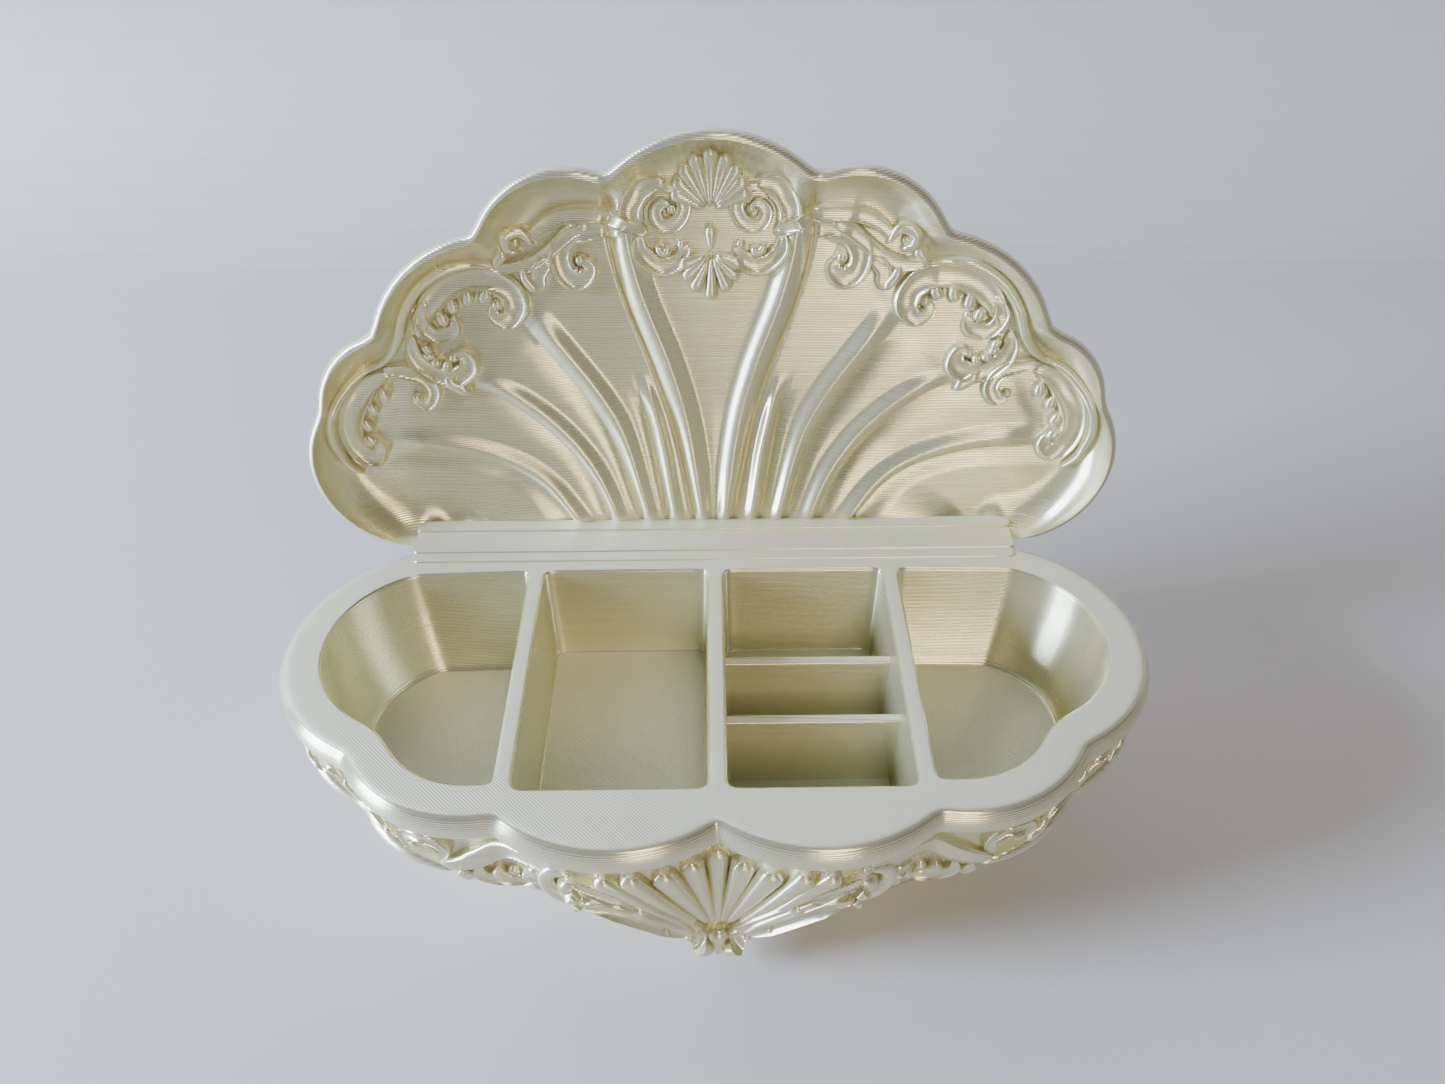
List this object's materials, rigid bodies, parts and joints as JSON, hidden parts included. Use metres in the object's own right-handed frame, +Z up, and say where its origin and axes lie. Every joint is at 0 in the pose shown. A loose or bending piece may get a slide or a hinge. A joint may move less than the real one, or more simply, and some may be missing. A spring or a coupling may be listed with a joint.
{
  "type": "shell box",
  "caption": "Pearl white scallop shell jewellery box with an upright carved lid, open wells and a rococo front.",
  "frame": {"origin": "centre of the whole part's bounding box in plan, on the underside", "axes": "+Z up, -Y toward the front of the box, +X to the right of someone facing the front"},
  "size_m": [0.156, 0.092, 0.1209],
  "materials": {
    "pearl_pla": "satin"
  },
  "bodies": {
    "root": {"shell_box": "pearl_pla"}
  },
  "joints": []
}
